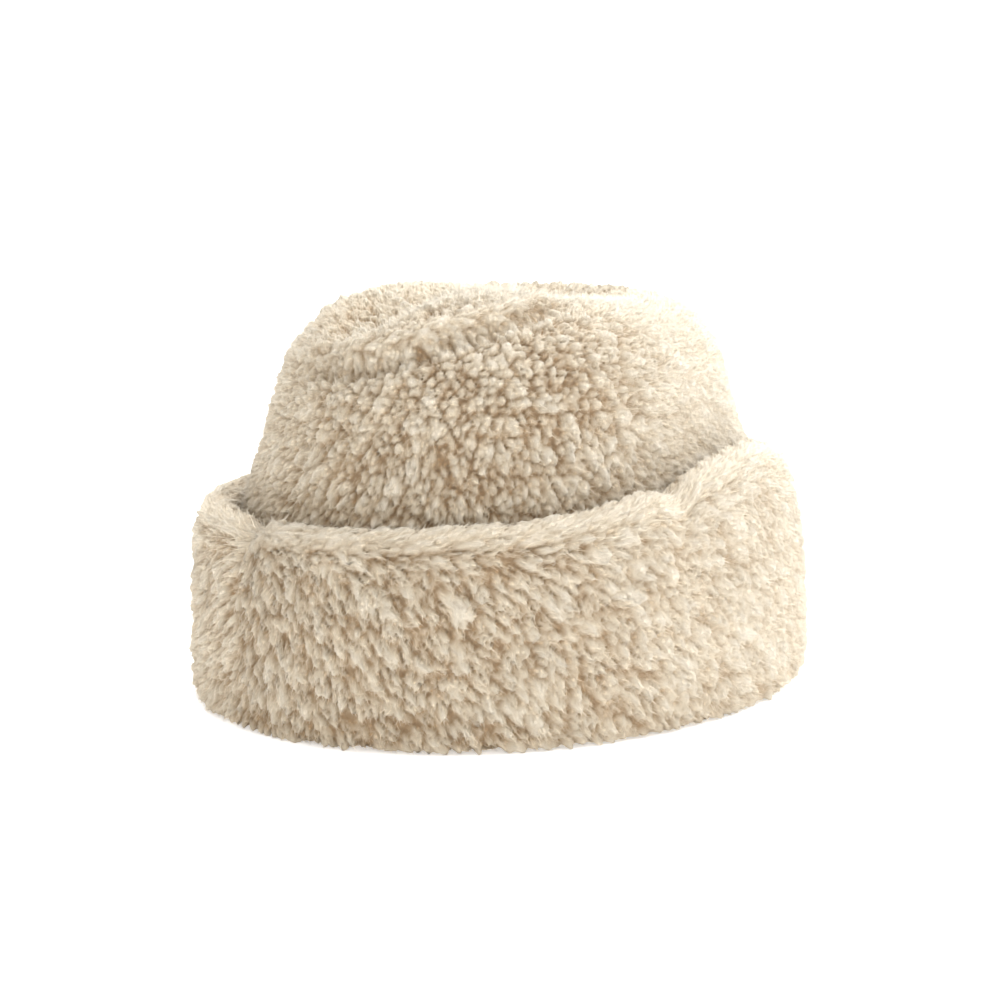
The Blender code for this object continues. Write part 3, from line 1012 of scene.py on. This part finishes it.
@dataclass
class Panel:
    """A panel of the hat: its cloth, knitted inside and pile outside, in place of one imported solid."""

    node: str
    slot: str
    quarter: Quarter
    pile: PlantedPile
    inner: Wall
    inner_depth: float
    spread: Table
    columns: int
    rows: int
    cuts: int = 6
    allowance: float = 9.0 * MM
    allowance_flat: float = 0.8
    allowance_height: float = 1.2 * MM

    def wrapped(self) -> Wrap:
        """Wraps a flat blank round the hat and raises its pile, with seam allowances pressed open inside.

        Returns:
            The cloth.
        """
        flat, faces = taken_arrays(flat_blank(self.node, self.columns, self.rows, self.cuts))
        turn = self.quarter.middle + flat[:, 0] * QUARTER_HALF_ANGLE
        along = (flat[:, 1] + 1.0) / 2.0
        distance = along * self.inner.path.length
        from_seam = (1.0 - np.abs(flat[:, 0])) * self.inner.flat_half_width(distance)
        raised = self.allowance_height * (1.0 - blend(self.allowance * self.allowance_flat, self.allowance,
                                                      from_seam))
        points = self.inner.place(turn, distance, self.inner_depth + raised)
        piled = flat[:, 2] > 0.0
        shares, marks = np.array(self.spread).T
        outer = np.interp(along[piled], shares, marks) * self.pile.wall.path.length
        skin = self.pile.skin(self.quarter, flat[piled, 0], outer)
        points[piled] = skin["points"]
        values = {}
        for name in ("fibre", "lock"):
            values[name] = np.zeros((len(flat), 3))
            values[name][piled] = skin[name]
        roots = np.zeros_like(points)
        roots[piled] = skin["root"]
        wrap = self.edged(flat, roots, Wrap(points, faces, piled, values))
        ends_in_point = self.inner.flat_half_width(self.inner.path.length) < TOUCHING
        return self.gathered(flat, wrap) if ends_in_point else wrap

    def edged(self, flat: np.ndarray, roots: np.ndarray, wrap: Wrap) -> Wrap:
        """Leads the cut edges at the seams down through the roots of the pile, under its leaning locks.

        Args:
            flat: Corner positions of the blank.
            roots: Place of the pile's roots under each corner.
            wrap: The cloth.

        Returns:
            The cloth with its cut edges in two steps, from the tips to the roots and on to the backing.
        """
        at_seam = np.abs(flat[:, 0]) > BORDER
        rooted = np.flatnonzero(at_seam & wrap.piled & (np.abs(flat[:, 1]) < BORDER))
        lowered = np.arange(len(flat))
        lowered[rooted] = len(flat) + np.arange(len(rooted))
        wall = at_seam[wrap.faces].all(axis=1)
        faces = [np.where(wall[:, None], lowered[wrap.faces], wrap.faces)]
        for side in (-1.0, 1.0):
            edge = np.flatnonzero(at_seam & wrap.piled & (flat[:, 0] * side > 0.0))
            edge = edge[np.argsort(-side * flat[edge, 1])]
            tips, next_tips = edge[:-1], edge[1:]
            below, next_below = lowered[tips], lowered[next_tips]
            faces += [np.stack([tips, next_tips, below], axis=1),
                      np.stack([next_tips, next_below, below], axis=1)]
        joined = np.concatenate(faces)
        whole = (joined != np.roll(joined, 1, axis=1)).all(axis=1)
        values = {name: np.concatenate([column, column[rooted]]) for name, column in wrap.values.items()}
        return Wrap(np.concatenate([wrap.points, roots[rooted]]), joined[whole],
                    np.concatenate([wrap.piled, np.zeros(len(rooted), dtype=bool)]), values)

    def gathered(self, flat: np.ndarray, wrap: Wrap) -> Wrap:
        """Draws each side of a cloth that ends in a point together in one corner there.

        Args:
            flat: Corner positions of the blank.
            wrap: The cloth, whose first corners are those of the blank.

        Returns:
            The cloth without the faces that vanish in the point.
        """
        points, same = wrap.points.copy(), np.arange(len(wrap.points))
        for side in (True, False):
            end = np.flatnonzero((flat[:, 1] > BORDER) & (wrap.piled[:len(flat)] == side))
            points[end] = points[end].mean(axis=0)
            same[end] = end[0]
        faces = same[wrap.faces]
        faces = faces[(faces != np.roll(faces, 1, axis=1)).all(axis=1)]
        kept, numbers = np.unique(faces, return_inverse=True)
        return Wrap(points[kept], numbers.reshape(faces.shape), wrap.piled[kept],
                    {name: column[kept] for name, column in wrap.values.items()})

    def made(self, wrap: Wrap, normals: np.ndarray, kit: Kit) -> bpy.types.Object:
        """Joins the cloth and its loose fibres in one mesh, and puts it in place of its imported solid.

        Args:
            wrap: The cloth.
            normals: The cloth's normals.
            kit: What it is made with.

        Returns:
            The panel.
        """
        fuzz = self.pile.fibres(self.quarter, kit)
        points = np.concatenate([wrap.points, fuzz["points"]])
        faces = np.concatenate([wrap.faces, fuzz["faces"] + len(wrap.points)])
        cloth = np.where(wrap.piled[wrap.faces].any(axis=1), Cloth.PILE.value, Cloth.BACKING.value)
        slots = np.concatenate([cloth, np.full(len(fuzz["faces"]), Cloth.PILE.value)])
        mesh = bpy.data.meshes.new(self.node + "_pile")
        mesh.vertices.add(len(points))
        mesh.vertices.foreach_set("co", points.ravel())
        mesh.loops.add(faces.size)
        mesh.loops.foreach_set("vertex_index", faces.ravel())
        mesh.polygons.add(len(faces))
        mesh.polygons.foreach_set("loop_start", np.arange(0, faces.size, 3))
        mesh.polygons.foreach_set("material_index", slots)
        mesh.update(calc_edges=True)
        for name, of_cloth in wrap.values.items():
            column = np.concatenate([of_cloth, fuzz[name]])
            mesh.attributes.new(name, "FLOAT_VECTOR", "POINT").data.foreach_set("vector", column.ravel())
        mesh.shade_smooth()
        mesh.normals_split_custom_set_from_vertices(np.concatenate([normals, fuzz["normals"]]))
        for finish in kit.finishes:
            mesh.materials.append(finish)
        panel = bpy.data.objects.new(self.node + "_pile", mesh)
        bpy.context.scene.collection.objects.link(panel)
        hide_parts(self.node)
        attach(panel, "root")
        return panel


def sewn(panels: list[Panel], kit: Kit) -> list[bpy.types.Object]:
    """Makes the panels of a wall, shaded alike on both sides of each seam.

    Args:
        panels: The panels.
        kit: What they are made with.

    Returns:
        The panels' objects.
    """
    wraps = [panel.wrapped() for panel in panels]
    starts = np.cumsum([0] + [len(wrap.points) for wrap in wraps])
    points = np.concatenate([wrap.points for wrap in wraps])
    faces = np.concatenate([wrap.faces + start for wrap, start in zip(wraps, starts)])
    piled = np.concatenate([wrap.piled for wrap in wraps])
    _, joined = np.unique(np.round(points / TOUCHING).astype(int), axis=0, return_inverse=True)
    joined = joined.ravel()
    normals = np.where(piled[:, None], side_normals(points, faces[piled[faces].all(axis=1)], joined),
                       side_normals(points, faces[~piled[faces].any(axis=1)], joined))
    return [panel.made(wrap, normals[start:start + len(wrap.points)], kit)
            for panel, wrap, start in zip(panels, wraps, starts)]


@dataclass
class Crown:
    """The crown: four gores that meet at the top."""

    wall: CrownWall = field(default_factory=CrownWall)
    pile: Pile = field(default_factory=lambda: Pile(
        tufts=Heaps(pitch=8.8 * MM, drop=1.6 * MM, stretch=0.7, fullness=4.2),
        locks=Heaps(pitch=4.3 * MM, drop=1.75 * MM, stretch=0.9, fullness=2.8)))
    thickness: float = 12.5 * MM
    pile_from: float = 58.0 * MM
    pile_fade: float = 6.0 * MM
    bed: float = 3.4 * MM
    proud: float = 0.5 * MM
    combed_flat: Table = (
        # bearing in degrees, share of the relief that is lost there
        (-90.0, 0.06), (-60.0, 0.0), (-20.0, 0.0), (4.0, 0.28), (20.0, 0.48), (60.0, 0.42),
        (100.0, 0.1), (180.0, 0.05), (240.0, 0.15), (270.0, 0.12),
    )
    columns: int = 24
    rows: int = 30
    hidden_rows: float = 0.06
    # The pile hangs under the first height and stands over the second.
    hangs_below: float = 92.0 * MM
    stands_above: float = 132.0 * MM
    standing_lean: float = 0.20
    hanging_lean: float = 0.70
    seam_dip: float = 0.8 * MM
    seam_half_width: float = 3.0 * MM
    # Along the fold the pile is combed up and aside over the crease.
    comb_above: float = 9.0 * MM
    comb_half_width: float = 7.0 * MM
    comb_up: float = 0.35
    comb_aside: float = 0.9
    comb_flat: float = 0.3
    # Between these shares of the way up the top loses the first share of its relief.
    top_flat: float = 0.38
    top_from: float = 0.72
    top_full: float = 0.85

    def rule(self, quarter: Quarter) -> LieRule:
        """Works out how the pile of one gore lies.

        Args:
            quarter: The gore's quarter.

        Returns:
            A rule that gives the lie at each place.
        """
        fan, aside = {
            Quarter.FRONT_RIGHT: (0.38, 0.10),
            Quarter.BACK_RIGHT: (0.15, 1.05),
            Quarter.BACK_LEFT: (0.10, -0.55),
            Quarter.FRONT_LEFT: (0.10, -0.50),
        }[quarter]
        length = self.wall.path.length

        def lie(turn: np.ndarray, across: np.ndarray, distance: np.ndarray) -> Lie:
            """Gives the lie at some places.

            Args:
                turn: Bearings in radians.
                across: Shares of the half width.
                distance: Distances from the hem.

            Returns:
                How the pile lies.
            """
            _, height, _ = self.wall.path.at(distance)
            low = 1.0 - blend(self.hangs_below, self.stands_above, height)
            seam = (1.0 - np.abs(across)) * self.wall.flat_half_width(distance)
            valley = self.seam_dip * np.exp(-(seam / self.seam_half_width) ** 2)
            above, strength = self.wall.above_crease(turn, distance)
            ridge = strength * np.exp(-((above - self.comb_above) / self.comb_half_width) ** 2)
            flat = by_bearing(self.combed_flat, turn)
            top = self.top_flat * blend(length * self.top_from, length * self.top_full, distance)
            bare = 1.0 - blend(self.pile_from, self.pile_from + self.pile_fade, height)
            lean = self.standing_lean + self.hanging_lean * low
            return Lie(down=lean * (1.0 - ridge) - self.comb_up * ridge,
                       aside=(aside + fan * across) * (1.0 - ridge) + self.comb_aside * ridge,
                       rise=(1.0 - bare) * (1.0 - self.comb_flat * ridge) * (1.0 - np.maximum(flat, top)),
                       sunk=valley - self.proud * (1.0 - flat) + self.bed * bare,
                       loose=np.ones_like(across))

        return lie

    def build(self, kit: Kit) -> list[bpy.types.Object]:
        """Builds the four gores.

        Args:
            kit: What they are made with.

        Returns:
            The gores.
        """
        start = float(self.wall.path.where_height(np.array(self.pile_from)))
        length = self.wall.path.length
        rules = {quarter: self.rule(quarter) for quarter in Quarter}
        pile = self.pile.planted(self.wall, start, length, rules, kit.chance)
        spread = ((0.0, 0.0), (self.hidden_rows, start / length), (1.0, 1.0))
        panels = [Panel(f"crown_{quarter.label}", "crown_pile", quarter, pile, self.wall, self.thickness,
                        spread, self.columns, self.rows)
                for quarter in Quarter]
        return sewn(panels, kit)


@dataclass
class Cuff:
    """The turned-up cuff: four panels in line with the gores, folded under the crown's hem."""

    skin: CuffWall = field(default_factory=lambda: CuffWall((
        # inset in mm, height in mm, share of the rim's rise: tips of the pile, over the rim
        (27.6, 6.0, 0.0), (25.5, 1.6, 0.0), (21.0, 0.0, 0.0), (5.5, 0.0, 0.0), (2.0, 1.2, 0.0),
        (0.4, 5.0, 0.0), (0.1, 13.0, 0.05), (0.0, 28.0, 0.25), (0.2, 50.0, 0.6), (1.2, 68.0, 0.9),
        (2.6, 77.0, 1.0), (5.0, 82.6, 1.0), (8.2, 85.0, 1.0), (12.0, 85.0, 1.0),
        (15.2, 82.0, 1.0), (16.6, 76.0, 1.0), (17.2, 68.0, 0.9),
    )))
    inside: CuffWall = field(default_factory=lambda: CuffWall((
        # inset in mm, height in mm, share of the rim's rise: inner face of the backing
        (28.0, 14.0, 0.0), (15.5, 14.0, 0.0), (15.6, 34.0, 0.1), (15.4, 52.0, 0.6),
        (15.5, 62.0, 0.8), (16.4, 67.0, 0.9),
    )))
    pile: Pile = field(default_factory=lambda: Pile(
        tufts=Heaps(pitch=10.4 * MM, drop=1.5 * MM, stretch=1.1, fullness=3.8),
        locks=Heaps(pitch=4.8 * MM, drop=1.95 * MM, stretch=1.4, fullness=2.7)))
    combed: Table = (
        # bearing in degrees, turn of the pile from straight down in degrees
        (-180.0, -38.0), (-110.0, -34.0), (-95.0, -28.0), (-83.0, 26.0), (-60.0, 33.0),
        (-20.0, 38.0), (30.0, 50.0), (80.0, 46.0), (90.0, 0.0), (100.0, -44.0), (180.0, -38.0),
    )
    columns: int = 27
    rows: int = 20
    under_rows: float = 0.12
    proud: float = 0.4 * MM
    combed_flat: float = 0.3
    inner_reach: float = 3.6 * MM
    # Rows of the skin's section: end of the flat ring, foot of the outer face, and line of the rim.
    ring_row: int = 3
    foot_row: int = 4
    rim_row: int = 12
    # Distances under and over the rim's line, where the pile turns along it, is pressed flat and goes inside.
    turn_from: float = 24.0 * MM
    turn_full: float = 2.0 * MM
    band_from: float = 12.0 * MM
    band_full: float = 5.0 * MM
    band_over: float = 8.0 * MM
    inner_over: float = 10.0 * MM
    # Distances before the foot, where the pile lies under the hat.
    under_full: float = 7.0 * MM
    under_from: float = 1.0 * MM
    # Angles in degrees: full turn to a side, where locks lie flatter, and turns along the rim and inside.
    side_turn: float = 25.0
    flat_from: float = 34.0
    flat_full: float = 46.0
    rim_turn: float = 100.0
    inner_turn: float = 40.0
    under_turned: float = 0.5
    lean: float = 1.15
    rim_lean: float = 0.55
    under_lean: float = 0.8
    band_flat: float = 0.48
    under_flat: float = 0.1
    notch_half_width: float = 0.06
    notch_loose: float = 1.2

    def rule(self) -> LieRule:
        """Works out how the pile lies.

        Returns:
            A rule that gives the lie at each place.
        """
        foot, rim = self.skin.path.marks[self.foot_row], self.skin.path.marks[self.rim_row]

        def lie(turn: np.ndarray, across: np.ndarray, distance: np.ndarray) -> Lie:
            """Gives the lie at some places.

            Args:
                turn: Bearings in radians.
                across: Shares of the half width.
                distance: Distances from the hem.

            Returns:
                How the pile lies.
            """
            near_rim = blend(rim - self.turn_from, rim - self.turn_full, distance)
            band = (blend(rim - self.band_from, rim - self.band_full, distance)
                    * (1.0 - blend(rim, rim + self.band_over, distance)))
            under = 1.0 - blend(foot - self.under_full, foot - self.under_from, distance)
            inner = blend(rim, rim + self.inner_over, distance)
            combed = by_bearing(self.combed, turn)
            side = np.clip(combed / self.side_turn, -1.0, 1.0)
            flat = blend(self.flat_from, self.flat_full, np.abs(combed))
            heading = np.radians(combed * (1.0 - self.under_turned * under)
                                 + (self.rim_turn * side - combed) * near_rim
                                 + self.inner_turn * side * inner)
            lean = self.lean + self.rim_lean * near_rim - self.under_lean * under
            notch = np.exp(-((1.0 - np.abs(across)) / self.notch_half_width) ** 2) * band
            rise = (1.0 - self.band_flat * band) * (1.0 - self.under_flat * under)
            return Lie(down=lean * np.cos(heading), aside=lean * np.sin(heading),
                       rise=rise * (1.0 - self.combed_flat * flat),
                       sunk=-self.proud * (1.0 - under) - self.inner_reach * inner,
                       loose=1.0 + self.notch_loose * notch)

        return lie

    def build(self, kit: Kit) -> list[bpy.types.Object]:
        """Builds the four panels.

        Args:
            kit: What they are made with.

        Returns:
            The panels.
        """
        length = self.skin.path.length
        rules = {quarter: self.rule() for quarter in Quarter}
        pile = self.pile.planted(self.skin, 0.0, length, rules, kit.chance)
        spread = ((0.0, 0.0), (self.under_rows, self.skin.path.marks[self.ring_row] / length), (1.0, 1.0))
        panels = [Panel(f"cuff_{quarter.label}", "cuff_pile", quarter, pile, self.inside, 0.0,
                        spread, self.columns, self.rows)
                for quarter in Quarter]
        return sewn(panels, kit)


@dataclass
class Studio:
    """Plain pale floor, soft light from the upper right, and the camera at the photograph's angle."""

    eye: tuple[float, float, float] = (1.2257, -1.0285, 0.437)
    target: tuple[float, float, float] = (0.0, 0.0, 0.0702)
    lens: float = 151.4
    sensor: float = 36.0
    shift_x: float = -0.003
    clip: tuple[float, float] = (0.05, 50.0)
    floor_size: float = 12.0
    floor_hex: str = "fbfbfb"
    floor_roughness: float = 0.9
    floor_glow: float = 0.45
    sky_strength: float = 1.04
    soft_boxes: tuple[tuple[str, tuple[float, float, float], float, float, str], ...] = (
        # name, place, size, power in watts, colour
        ("key", (0.9, 1.6, 1.5), 2.2, 55.0, "e9f2ff"),
        ("top", (-0.6, 0.5, 1.9), 1.6, 54.0, "eef5ff"),
        ("fill", (1.8, -0.8, 0.5), 1.6, 9.5, "fff2e0"),
    )

    def aimed(self, name: str, data: bpy.types.ID, place: tuple[float, float, float]) -> bpy.types.Object:
        """Sets up a camera or light that faces the hat.

        Args:
            name: Its name.
            data: The camera or light.
            place: Where it stands.

        Returns:
            Its object.
        """
        thing = bpy.data.objects.new(name, data)
        thing.location = place
        thing.rotation_euler = (Vector(self.target) - Vector(place)).to_track_quat("-Z", "Y").to_euler()
        bpy.context.scene.collection.objects.link(thing)
        return thing

    def camera(self) -> None:
        """Sets the camera."""
        data = bpy.data.cameras.new("camera")
        data.lens = self.lens
        data.sensor_width = self.sensor
        data.shift_x = self.shift_x
        data.clip_start, data.clip_end = self.clip
        bpy.context.scene.camera = self.aimed("camera", data, self.eye)

    def floor(self) -> None:
        """Lays the floor, of matt paper that spreads the light evenly and glows a little to stay white."""
        bpy.ops.object.select_all(action="DESELECT")
        bpy.ops.mesh.primitive_plane_add(size=self.floor_size, location=(0.0, 0.0, 0.0))
        floor = bpy.context.object
        floor.name = "floor"
        tree = NodeTree(bpy.data.materials.new("matt_paper"))
        tree.finish({"Base Color": linear_colour(self.floor_hex), "Roughness": self.floor_roughness,
                     "Emission Color": (1.0, 1.0, 1.0, 1.0), "Emission Strength": self.floor_glow})
        floor.data.materials.append(tree.material)

    def light(self) -> None:
        """Lights the hat."""
        world = bpy.data.worlds.new("white_room")
        world.use_nodes = True
        nodes, links = world.node_tree.nodes, world.node_tree.links
        background = nodes["Background"]
        background.inputs["Color"].default_value = (1.0, 1.0, 1.0, 1.0)
        seen = nodes.new("ShaderNodeLightPath")
        strength = nodes.new("ShaderNodeMapRange")
        strength.inputs["To Min"].default_value = self.sky_strength
        strength.inputs["To Max"].default_value = 1.0
        links.new(seen.outputs["Is Camera Ray"], strength.inputs["Value"])
        links.new(strength.outputs["Result"], background.inputs["Strength"])
        bpy.context.scene.world = world
        for name, place, size, power, colour in self.soft_boxes:
            data = bpy.data.lights.new(name, "AREA")
            data.size = size
            data.energy = power
            data.color = linear_colour(colour)[:3]
            self.aimed(name, data, place)
        bpy.context.scene.view_settings.view_transform = "Standard"


def main() -> None:
    """Builds the hat panel by panel, then the studio."""
    logging.basicConfig(level=logging.INFO, format="%(message)s")
    chance = np.random.default_rng(SEED)
    fibre = fibre_shape()
    backing = BackingFinish("knitted_backing").material()
    crown_pile = PileFinish("crown_acrylic_pile").material()
    cuff_pile = PileFinish("cuff_acrylic_pile").material()
    for part, pile in ((Crown(), crown_pile), (Cuff(), cuff_pile)):
        for made in part.build(Kit(fibre, (pile, backing), chance)):
            LOG.info("%s: %d faces", made.name, len(made.data.polygons))
    studio = Studio()
    studio.floor()
    studio.light()
    studio.camera()


if __name__ == "__main__":
    main()
